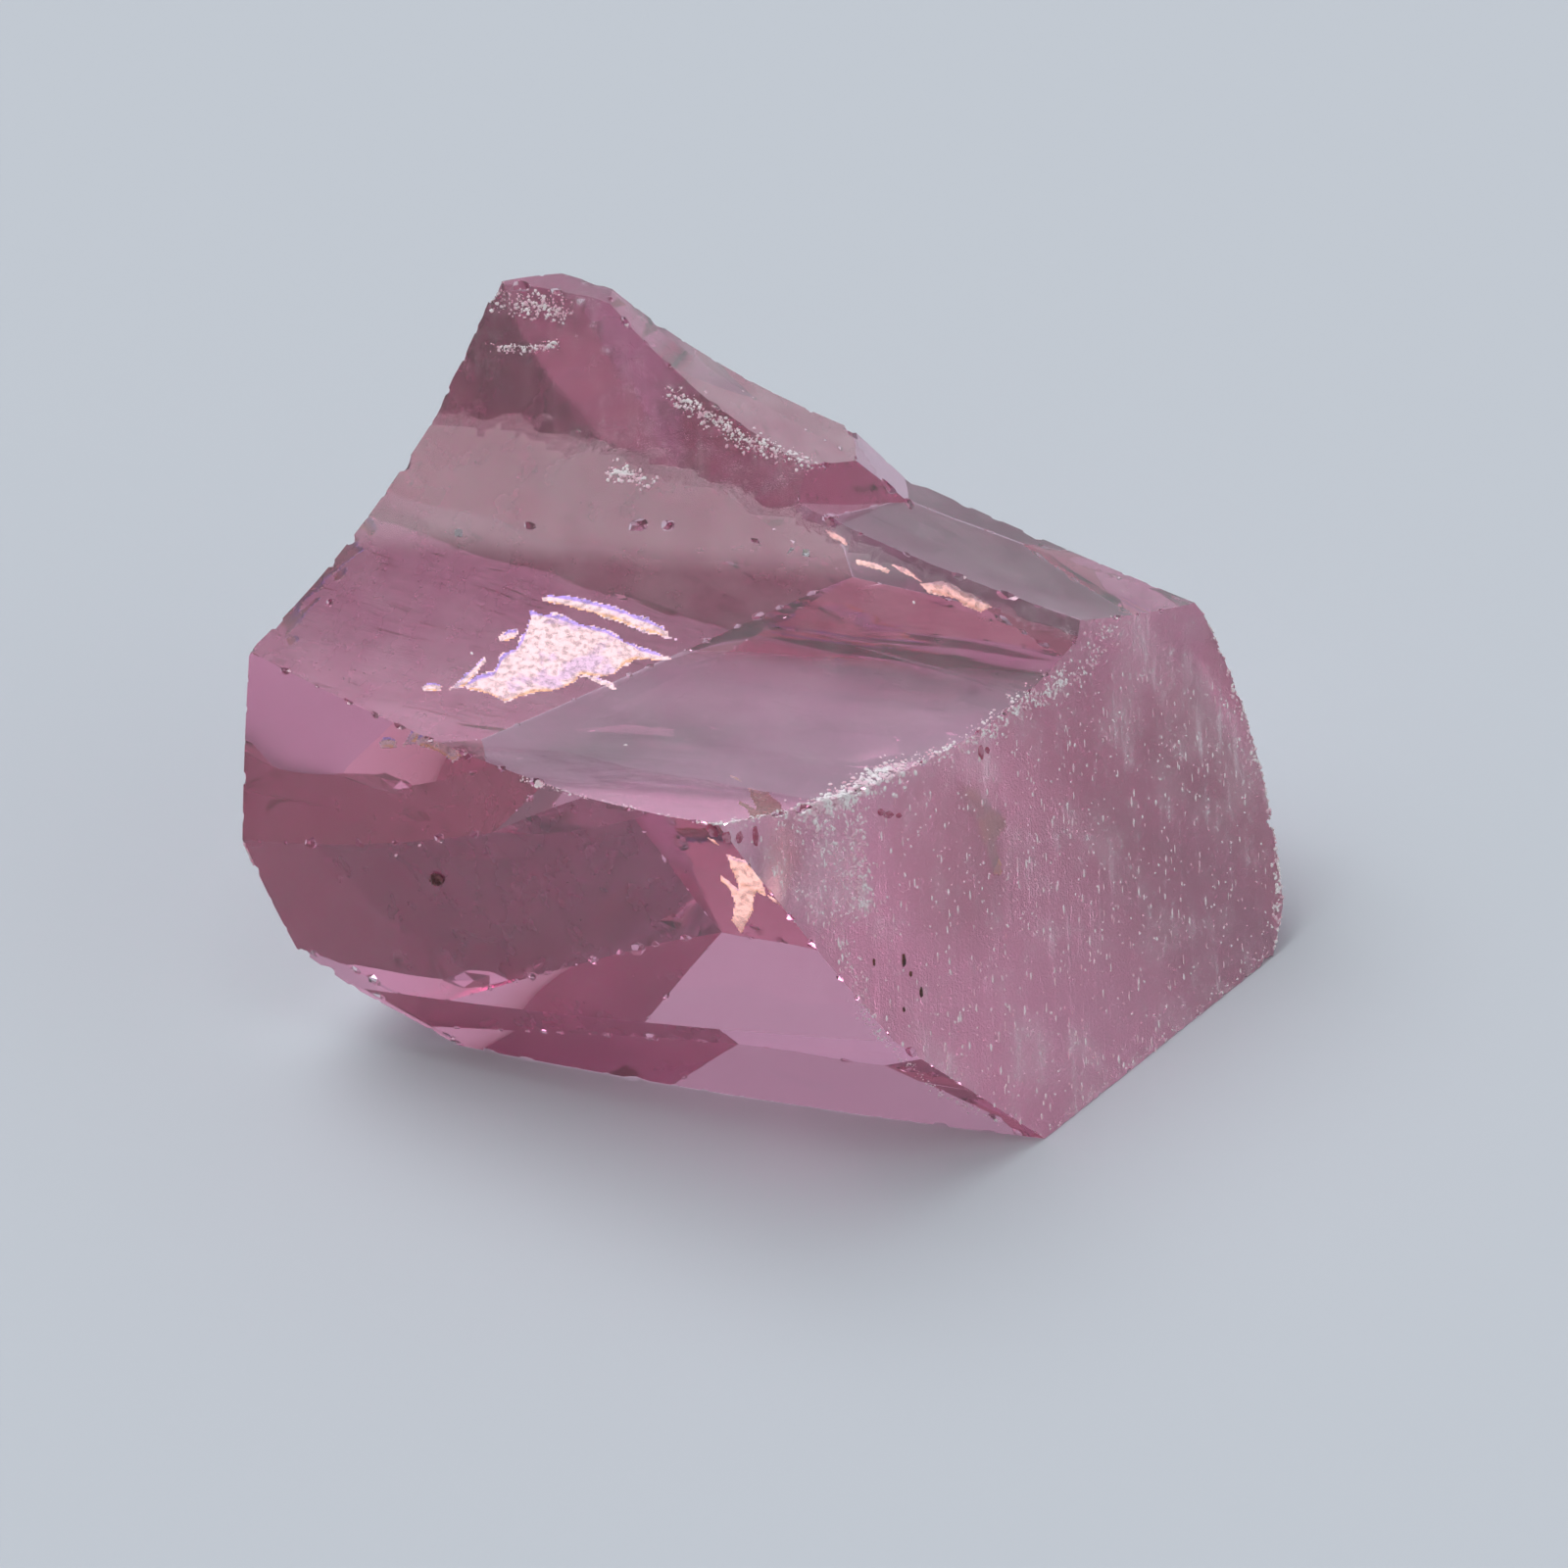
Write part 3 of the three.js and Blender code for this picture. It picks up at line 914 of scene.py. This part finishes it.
@dataclass
class Crumbs:
    """Everything crushed that clings to the crystal.

    Attributes:
        specks: How many fine specks lie on the sawn face.
        speck: Least and most half length of a speck, in mm.
        speck_width: Least and most half width of a speck, in mm.
        speck_thick: Half the thickness of a speck, in mm.
        reach: How far they are strewn to each side and up and down, in mm.
        clear: How far out the search for their places starts, in mm.
        level: Least cosine between the surface under a speck and the sawn face.
        finish: What the crumbs are made of.
    """

    specks: int = 2400
    speck: tuple[float, float] = (0.012, 0.12)
    speck_width: tuple[float, float] = (0.01, 0.034)
    speck_thick: float = 0.02
    reach: tuple[float, float] = (7.0, 6.0)
    clear: float = 2.0
    level: float = 0.95
    finish: CrushedFinish = CrushedFinish()
    piece: bpy.types.Object | None = None

    def build(self, stone: bpy.types.Object) -> None:
        """Strew the crumbs over the stone."""
        dice = random.Random(5)
        ground = surface_of(stone)
        heap = Pebbles(dice)
        for seam in SEAMS:
            for at in seam.places(dice):
                size = seam.size[0] + (seam.size[1] - seam.size[0]) * dice.random() ** 2
                self.lay(heap, ground, at, (size, size * dice.uniform(0.5, 1.0), size * 0.4))
        for at in DUST:
            self.lay(heap, ground, Vector(at), DUST_RADII)
        self.strew(heap, ground)
        self.piece = heap.heap("crushed_crumbs")
        self.piece.data.materials.append(self.finish.make())

    @staticmethod
    def lay(heap: Pebbles, ground: BVHTree, at: Vector, radii: Triple) -> None:
        """Lay one crumb on the nearest spot of the stone.

        Args:
            heap: The heap that gets the crumb.
            ground: The stone's surface.
            at: About where the crumb goes, in mm.
            radii: Its half sizes, in mm.
        """
        spot, out, _, _ = ground.find_nearest(at)
        turn = turn_to(out, heap.dice.uniform(0, math.tau))
        heap.add(Matrix.Translation(spot + out * radii[2] * 0.3) @ turn, radii)

    def strew(self, heap: Pebbles, ground: BVHTree) -> None:
        """Strew fine specks over the sawn face, each drawn out along the saw's run."""
        at, _ = FACES["sawn"].plane()
        side, run, out = saw_axes()
        turn = saw_axes().transposed().to_4x4()
        dice = heap.dice
        wide_reach, high_reach = self.reach
        for _ in range(self.specks):
            start = at + side * dice.uniform(-wide_reach, wide_reach)
            start += run * dice.uniform(-high_reach, high_reach) + out * self.clear
            spot, normal, _, _ = ground.ray_cast(start, -out, 2 * self.clear)
            if spot is None or normal.dot(out) < self.level:
                continue
            long = self.speck[0] + (self.speck[1] - self.speck[0]) * dice.random() ** 3
            wide = dice.uniform(*self.speck_width)
            heap.add(Matrix.Translation(spot) @ turn, (wide, max(long, wide), self.speck_thick))


@dataclass
class PressedSpecks:
    """A few specks pressed into the sawn face, each drawn out along the saw's run.

    Attributes:
        name: What the piece is called.
        finish: What they are made of.
        spots: Place, half width and half height of each, in mm.
        thick: Half their thickness, in mm.
        seed: Where the dice start that make them uneven.
        cells: How finely each is divided.
    """

    name: str
    finish: GrainFinish
    spots: tuple[Spot, ...]
    thick: float
    seed: int
    cells: int = 1
    piece: bpy.types.Object | None = None

    def build(self, stone: bpy.types.Object) -> None:
        """Press the specks into the stone."""
        ground = surface_of(stone)
        turn = saw_axes().transposed().to_4x4()
        heap = Pebbles(random.Random(self.seed), self.cells)
        for at, wide, high in self.spots:
            spot = ground.find_nearest(Vector(at))[0]
            heap.add(Matrix.Translation(spot) @ turn, (wide, high, self.thick))
        self.piece = heap.heap(self.name)
        self.piece.data.materials.append(self.finish.make())


RUST_SPECKS = PressedSpecks("rust_specks", RUST, (
    ((1.69, -4.44, 4.22), 0.03, 0.08),
    ((2.26, -4.05, 3.94), 0.05, 0.14),
    ((2.37, -4.12, 3.66), 0.04, 0.06),
    ((2.59, -4.25, 3.32), 0.04, 0.11),
    ((2.25, -4.69, 3.27), 0.03, 0.06),
), 0.03, 8, 2)
# Painted shade: dark red specks laid on the ridge edges, where chipped facets look dark.
CHIP_SHADE_SPECKS = PressedSpecks("painted_chip_shade_specks", CHIP_SHADE_FINISH, (
    ((-1.30, -4.55, 7.50), 0.20, 0.17),
    ((-1.05, -4.55, 7.33), 0.15, 0.12),
    ((-0.85, -4.45, 7.22), 0.10, 0.14),
    ((-0.55, -4.25, 7.10), 0.08, 0.20),
    ((1.84, -2.40, 6.20), 0.10, 0.08),
    ((1.98, -2.32, 6.08), 0.15, 0.08),
    ((2.20, -2.22, 5.98), 0.08, 0.06),
    ((3.78, -0.30, 6.02), 0.08, 0.16),
    ((3.90, -0.20, 5.98), 0.07, 0.08),
), 0.05, 21)


# ------------------------------------------------------------------------ inside the crystal


@dataclass
class Feather:
    """A thin healed crack sealed in the crystal, built as a closed film.

    Attributes:
        name: What the film is called.
        centre: Its middle, in mm.
        facing: The way that it throws light back.
        outlines: Its parts, each a line of places level with and up the film, in mm.
        finish: What it is made of.
        cell: Size of one cell of the film, in mm.
        ragged: How far its rim strays, in mm.
        thick: Its thickness, in mm.
        wave: How far it ripples, in mm.
        bow: Its curvature sideways and upwards, in 1/mm.
        fringe: Width of its coloured rims, in mm.
        crease: Angle under which its surface is shaded as one, in degrees.
    """

    name: str
    centre: Triple
    facing: Triple
    outlines: tuple[Outline, ...]
    finish: FeatherFinish
    cell: float = 0.05
    ragged: float = 0.09
    thick: float = 0.02
    wave: float = 0.003
    bow: tuple[float, float] = (0.0, 0.0)
    fringe: float = 0.22
    crease: float = 50.0
    piece: bpy.types.Object | None = None

    def build(self) -> None:
        """Build the film in its place."""
        shape = bmesh.new()
        hue = shape.verts.layers.float.new(HUE)
        for outline in self.outlines:
            self.fill(shape, outline, hue)
        for vert in shape.verts:
            vert.co.z = self.wave * noise.noise(vert.co * 1.7) * 2
            vert.co.z += 0.5 * (self.bow[0] * vert.co.x**2 + self.bow[1] * vert.co.y**2)
        drawn = bmesh.ops.extrude_face_region(shape, geom=shape.faces[:])["geom"]
        for vert in (item for item in drawn if isinstance(item, bmesh.types.BMVert)):
            vert.co.z += self.thick
        bmesh.ops.recalc_face_normals(shape, faces=shape.faces)
        out = Vector(self.facing).normalized()
        across = Vector((-out.y, out.x, 0)).normalized()
        turn = Matrix((across, out.cross(across), out)).transposed().to_4x4()
        shape.transform(Matrix.Translation(self.centre) @ turn)
        self.piece = as_object(shape, self.name)
        self.piece.data.materials.append(self.finish.make())
        self.piece.data.shade_smooth()
        self.piece.data.set_sharp_from_angle(angle=math.radians(self.crease))

    def fill(self, shape: bmesh.types.BMesh, outline: Outline,
             hue: bmesh.types.BMLayerItem) -> None:
        """Fill one outline with small cells, ragged along its rim.

        Args:
            shape: The bmesh that gets the cells, flat in its XY plane.
            outline: The corners of the part, in mm.
            hue: The layer that says where between its lower and upper rim a place lies.
        """
        points = np.array(outline)
        low = np.floor(points.min(0) / self.cell).astype(int) - 1
        high = np.ceil(points.max(0) / self.cell).astype(int) + 1
        corners: dict[tuple[int, int], bmesh.types.BMVert] = {}
        for i in range(low[0], high[0]):
            for j in range(low[1], high[1]):
                middle = Vector(((i + 0.5) * self.cell, (j + 0.5) * self.cell, 0.0))
                stray = noise.noise_vector(middle * 3.0) * self.ragged
                if not inside(middle.x + stray.x, middle.y + stray.y, outline):
                    continue
                ring = []
                for key in ((i, j), (i + 1, j), (i + 1, j + 1), (i, j + 1)):
                    if key not in corners:
                        at = Vector((key[0] * self.cell, key[1] * self.cell, 0.0))
                        shaken = at + noise.noise_vector(at * 9.0).to_2d().to_3d() * 0.4 * self.cell
                        corners[key] = shape.verts.new(shaken)
                        corners[key][hue] = self.shade(shaken.x, shaken.y, outline)
                    ring.append(corners[key])
                shape.faces.new(ring)

    def shade(self, x: float, y: float, outline: Outline) -> float:
        """Return 0 at the lower rim of an outline, 1 at its upper rim and 0.45 between them."""
        rises = sorted(
            ay + (x - ax) * (by - ay) / (bx - ax)
            for (ax, ay), (bx, by) in zip(outline, outline[1:] + outline[:1])
            if (ax > x) != (bx > x))
        over = [rise - y for rise in rises if rise >= y]
        under = [y - rise for rise in rises if rise < y]
        top = 1.0 - min(over, default=0.0) / self.fringe
        foot = 1.0 - min(under, default=0.0) / self.fringe
        return 0.45 + 0.55 * max(top, 0.0) - 0.45 * max(foot, 0.0)


def inside(x: float, y: float, outline: Outline) -> bool:
    """Tell whether a place lies inside an outline.

    Args:
        x: Its first coordinate.
        y: Its second coordinate.
        outline: The corners of the outline, in order.

    Returns:
        Whether it lies inside.
    """
    found = False
    for (ax, ay), (bx, by) in zip(outline, outline[1:] + outline[:1]):
        if (ay > y) != (by > y) and x < ax + (y - ay) * (bx - ax) / (by - ay):
            found = not found
    return found


@dataclass
class DarkGrain:
    """The small dark grain just inside the front face.

    Attributes:
        at: Its middle, in mm.
        radii: Its half sizes, in mm.
    """

    at: Triple = (-6.57, -2.72, 4.84)
    radii: Triple = (0.15, 0.13, 0.14)
    piece: bpy.types.Object | None = None

    def build(self) -> None:
        """Build the grain."""
        heap = Pebbles(random.Random(3), 3)
        heap.add(Matrix.Translation(self.at), self.radii)
        self.piece = heap.heap("dark_grain")
        self.piece.data.materials.append(DARK_GRAIN.make())


SHEEN = FeatherFinish(
    "feather_film", (1.0, 0.84, 0.78), (0.80, 0.66, 0.80), (1.0, 0.62, 0.30), (0.50, 0.40, 0.95),
    (0.08, 0.3))
GOLD = FeatherFinish(
    "gold_film", (0.92, 0.60, 0.48), (0.72, 0.40, 0.26), (0.75, 0.45, 0.28), (0.85, 0.52, 0.56),
    (0.1, 0.3))
GLINT = FeatherFinish(
    "glint_film", (0.85, 0.50, 0.44), (0.80, 0.42, 0.42), (0.75, 0.38, 0.30), (0.8, 0.48, 0.52),
    (0.1, 0.3))
PEACH = FeatherFinish(
    "peach_film", (0.62, 0.36, 0.34), (0.55, 0.32, 0.36), (0.60, 0.33, 0.30), (0.50, 0.30, 0.42),
    (0.3, 0.5))

FEATHERS = (
    Feather("bright_feather", (-4.5, 2.5, 5.7), (0.07, -0.385, 0.92), (
        ((-0.38, 0.92), (0.16, 0.71), (0.55, 0.49), (0.95, 0.30), (1.27, 0.04), (1.58, -0.24),
         (1.90, -0.42), (2.18, -0.66), (1.92, -0.71), (1.45, -0.59), (1.17, -0.74), (0.94, -1.03),
         (0.59, -1.00), (0.33, -0.90), (0.18, -1.12), (-0.18, -1.36), (-0.67, -1.35),
         (-1.06, -1.53), (-1.28, -1.59), (-1.53, -1.37), (-1.85, -1.18), (-2.01, -1.08),
         (-1.71, -0.75), (-1.34, -0.67), (-1.13, -0.23), (-0.81, 0.0), (-0.63, 0.23),
         (-0.48, 0.60)),
        ((-0.20, 1.13), (0.03, 1.27), (0.59, 1.14), (1.05, 0.93), (1.38, 0.75), (1.87, 0.45),
         (2.15, 0.16), (2.31, -0.11), (1.91, 0.06), (1.59, 0.25), (1.17, 0.52), (0.67, 0.75),
         (0.20, 0.97)),
        ((0.28, -0.93), (0.66, -1.04), (0.90, -1.27), (1.01, -1.45), (0.79, -1.31), (0.50, -1.11)),
        ((-1.04, 0.31), (-0.88, 0.45), (-0.74, 0.41), (-0.74, 0.21), (-0.93, 0.14), (-1.05, 0.17)),
        ((-2.17, -0.98), (-1.95, -0.73), (-1.66, -0.43), (-1.45, -0.24), (-1.47, -0.40),
         (-1.74, -0.74), (-1.97, -1.05), (-2.26, -1.11)),
        ((-2.80, -0.93), (-2.58, -0.86), (-2.38, -0.99), (-2.42, -1.14), (-2.62, -1.16),
         (-2.82, -1.09)),
    ), SHEEN, bow=(0.0, 0.05)),
    Feather("gold_feather", (-0.98, -3.12, 5.6), (-0.044, -0.558, 0.829), (
        ((0.20, 0.91), (0.36, 0.85), (0.58, 0.83), (0.68, 0.62), (0.81, 0.39), (0.86, 0.16),
         (0.90, -0.11), (0.69, 0.0), (0.63, -0.20), (0.56, -0.60), (0.43, -0.99), (0.34, -1.27),
         (0.24, -1.06), (0.15, -0.90), (0.27, -0.41), (0.23, -0.13), (0.04, 0.15), (0.02, 0.39),
         (0.20, 0.14), (0.38, -0.01), (0.33, 0.27), (0.23, 0.57)),
        ((0.92, -0.04), (1.05, -0.13), (1.14, -0.29), (1.02, -0.22)),
        ((-0.14, 1.34), (-0.03, 1.33), (0.06, 1.18), (-0.03, 1.21)),
    ), GOLD, 0.03, 0.05, fringe=0.15),
    Feather("groove_glint", (0.94, 4.37, 7.58), (0.054, -0.491, 0.87), (
        ((-0.12, 0.20), (0.05, 0.12), (0.24, -0.03), (0.30, -0.18), (0.10, -0.06), (-0.03, 0.03)),
    ), GLINT, 0.03, 0.03),
    Feather("groove_star", (1.71, 3.85, 7.24), (0.053, -0.47, 0.881), (
        ((-0.30, 0.24), (0.02, 0.10), (0.34, -0.06), (0.30, -0.14), (-0.02, 0.0), (-0.30, 0.14)),
        ((0.36, 0.10), (0.67, -0.05), (0.96, -0.37), (0.62, -0.17)),
    ), GLINT, 0.03, 0.04),
    Feather("groove_gleam", (3.23, 3.37, 6.87), (0.05, -0.45, 0.892), (
        ((-0.58, 0.38), (-0.12, 0.40), (0.34, 0.16), (0.78, -0.29), (0.54, -0.36), (-0.01, 0.0),
         (-0.38, 0.17)),
    ), GLINT, 0.03, 0.07),
    Feather("sawn_gleam", (3.74, -1.11, 4.76), (0.359, -0.555, 0.75), (
        ((-0.1, 1.1), (0.12, 0.8), (0.5, 0.2), (0.55, -0.1), (0.2, -0.3), (0.02, -1.0),
         (-0.12, -0.9), (-0.06, 0.0)),
    ), PEACH, 0.04, 0.05),
)


# ------------------------------------------------------------------------ the studio


@dataclass
class Studio:
    """The pale floor, the soft light and the camera.

    Attributes:
        target: The point that the camera looks at, in mm, before the crystal is moved.
        elevation: How far the camera looks down, in degrees.
        distance: From the camera to its target, in mm.
        lens: Its focal length, in mm.
        floor_half: Half the width of the sheet, in metres.
        paper: Colour of the sheet.
        cool: Tint of the open sky.
        warm: Tint of the room behind the camera.
        lamp_white: Tint of the two soft lights.
    """

    target: Triple = (0.0, 0.0, 5.0)
    elevation: float = 38.0
    distance: float = 125.786
    lens: float = 150.0
    floor_half: float = 0.6
    paper: Colour = (0.585, 0.63, 0.67)
    cool: Colour = (0.9, 0.95, 1.03)
    warm: Colour = (1.17, 0.855, 0.5665)
    lamp_white: Colour = (1.0, 1.0, 1.03)

    def build(self, shift: Vector) -> None:
        """Set the scene round the crystal."""
        self.view()
        self.floor()
        self.sky()
        self.camera((Vector(self.target) + Vector((shift.x, shift.y, 0.0))) * MM)

    def view(self) -> None:
        """Choose plain colours and light paths long enough for clear crystal."""
        scene = bpy.context.scene
        scene.view_settings.view_transform = "Standard"
        scene.cycles.max_bounces = 8
        scene.cycles.transmission_bounces = 8
        scene.cycles.transparent_max_bounces = 24
        scene.cycles.glossy_bounces = 8
        scene.cycles.diffuse_bounces = 2
        scene.cycles.blur_glossy = 0.0
        scene.cycles.caustics_refractive = True
        scene.cycles.caustics_reflective = True

    def floor(self) -> None:
        """Lay the sheet of paper."""
        shape = bmesh.new()
        bmesh.ops.create_grid(shape, x_segments=1, y_segments=1, size=self.floor_half)
        sheet = as_object(shape, "floor")
        sheet.location = (0, 0, -0.00002)
        bpy.context.scene.collection.objects.link(sheet)
        material, _, shader = new_material("paper")
        shader.inputs["Base Color"].default_value = (*self.paper, 1)
        shader.inputs["Roughness"].default_value = 0.9
        shader.inputs["Specular IOR Level"].default_value = 0.1
        sheet.data.materials.append(material)

    def sky(self) -> None:
        """Light the scene: a soft box overhead, a pale back wall and a darker, warmer room."""
        world = bpy.data.worlds.new("studio")
        bpy.context.scene.world = world
        world.use_nodes = True
        wires = Wiring(world.node_tree)
        way = wires.tree.nodes.new("ShaderNodeTexCoord").outputs["Generated"]
        split = wires.tree.nodes.new("ShaderNodeSeparateXYZ")
        wires.put(way, split.inputs[0])
        x, y, z = split.outputs
        level = wires.math("SQRT", wires.math("SUBTRACT", 1.0001, wires.math("MULTIPLY", z, z)))
        behind = wires.math("DIVIDE", y, level)
        climb = wires.math("MULTIPLY", wires.math("ARCSINE", z), 180 / math.pi)
        top_of_low = LIGHT["low_top"]
        back = wires.smooth(climb, top_of_low + 8, top_of_low - 8, LIGHT["mid"], LIGHT["low"])
        toward = wires.smooth(behind, 0.0, 0.7)
        ring = self.blend(wires, toward, LIGHT["side"], back)
        front = wires.math("MULTIPLY", behind, -1.0, clamp=True)
        ring = self.blend(wires, front, ring, LIGHT["front"])
        top = wires.smooth(climb, 40.0, 75.0)
        plain = self.blend(wires, top, ring, LIGHT["zenith"])
        box = self.soft_light(wires, way, "box")
        lamp = self.soft_light(wires, way, "lamp")
        warm = wires.smooth(behind, 0.3, -0.8, 0.0, LIGHT["warm"])
        warm = wires.math("MULTIPLY", warm, wires.math("SUBTRACT", 1.0, top))
        tint = wires.mix(warm, self.cool, self.warm)
        light = wires.vector("SCALE", tint).outputs[0]
        wires.put(plain, light.node.inputs["Scale"])
        white = wires.vector("SCALE", self.lamp_white).outputs[0]
        wires.put(wires.math("ADD", box, lamp), white.node.inputs["Scale"])
        total = wires.vector("ADD", light, white).outputs[0]
        wires.put(total, wires.tree.nodes["Background"].inputs["Color"])

    @staticmethod
    def soft_light(wires: Wiring, way: Socket, name: str) -> Socket:
        """Add one round soft light to the sky.

        Args:
            wires: The wiring of the sky.
            way: The direction that is looked in.
            name: The light's name in LIGHT.

        Returns:
            Its brightness in that direction.
        """
        azimuth = math.radians(LIGHT[name + "_azimuth"])
        height = math.radians(LIGHT[name + "_height"])
        level = math.cos(height)
        aim = (math.sin(azimuth) * level, math.cos(azimuth) * level, math.sin(height))
        near = wires.vector("DOT_PRODUCT", way, aim).outputs["Value"]
        away = wires.math("MULTIPLY", wires.math("ARCCOSINE", near), 180 / math.pi)
        width = LIGHT[name + "_width"]
        return wires.smooth(away, width * 1.3, width * 0.7, 0.0, LIGHT[name])

    @staticmethod
    def blend(wires: Wiring, factor: Socket, a: Socket | float, b: Socket | float) -> Socket:
        """Blend two numbers and return the result."""
        node = wires.tree.nodes.new("ShaderNodeMix")
        wires.put(factor, node.inputs[0])
        wires.put(a, node.inputs[2])
        wires.put(b, node.inputs[3])
        return node.outputs[0]

    def camera(self, target: Vector) -> None:
        """Aim the camera at the target, in metres."""
        lens = bpy.data.cameras.new("camera")
        lens.lens = self.lens
        lens.sensor_width = 36
        lens.clip_start = 0.01
        lens.clip_end = 5
        camera = bpy.data.objects.new("camera", lens)
        tilt = math.radians(self.elevation)
        back = Vector((0, -math.cos(tilt), math.sin(tilt)))
        camera.location = target + back * self.distance * MM
        camera.rotation_euler = (-back).to_track_quat("-Z", "Y").to_euler()
        bpy.context.scene.collection.objects.link(camera)
        bpy.context.scene.camera = camera


LIGHT = {
    "box_azimuth": -35.0, "box_height": 98.0, "box_width": 13.0, "box": 1.6,
    "lamp_azimuth": -47.0, "lamp_height": 55.0, "lamp_width": 20.0, "lamp": 4.5,
    "low": 0.49, "mid": 0.61, "low_top": 16.0, "front": 0.34, "side": 0.78,
    "zenith": 0.1, "warm": 0.35,
}


# ------------------------------------------------------------------------ together


def fix(piece: bpy.types.Object, shift: Vector) -> None:
    """Move a piece with the crystal, link it and give it to the crystal's body.

    Args:
        piece: The piece, modelled in mm.
        shift: The crystal's move, in mm.
    """
    piece.data.transform(Matrix.Scale(MM, 4) @ Matrix.Translation(shift))
    bpy.context.scene.collection.objects.link(piece)
    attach(piece, BODY)
    LOG.info("%s: %d faces", piece.name, len(piece.data.polygons))


def main() -> None:
    """Build the crystal, what lies on and in it, and the studio."""
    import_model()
    crystal = Crystal()
    shift = crystal.build()
    parts = [Crumbs(), RUST_SPECKS, CHIP_SHADE_SPECKS]
    for part in parts:
        part.build(crystal.piece)
    sealed = [*FEATHERS, DarkGrain()]
    for part in sealed:
        part.build()
    for part in (crystal, *parts, *sealed):
        fix(part.piece, shift)
    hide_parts(NODE)
    Studio().build(shift)


if __name__ == "__main__":
    logging.basicConfig(level=logging.INFO)
    main()
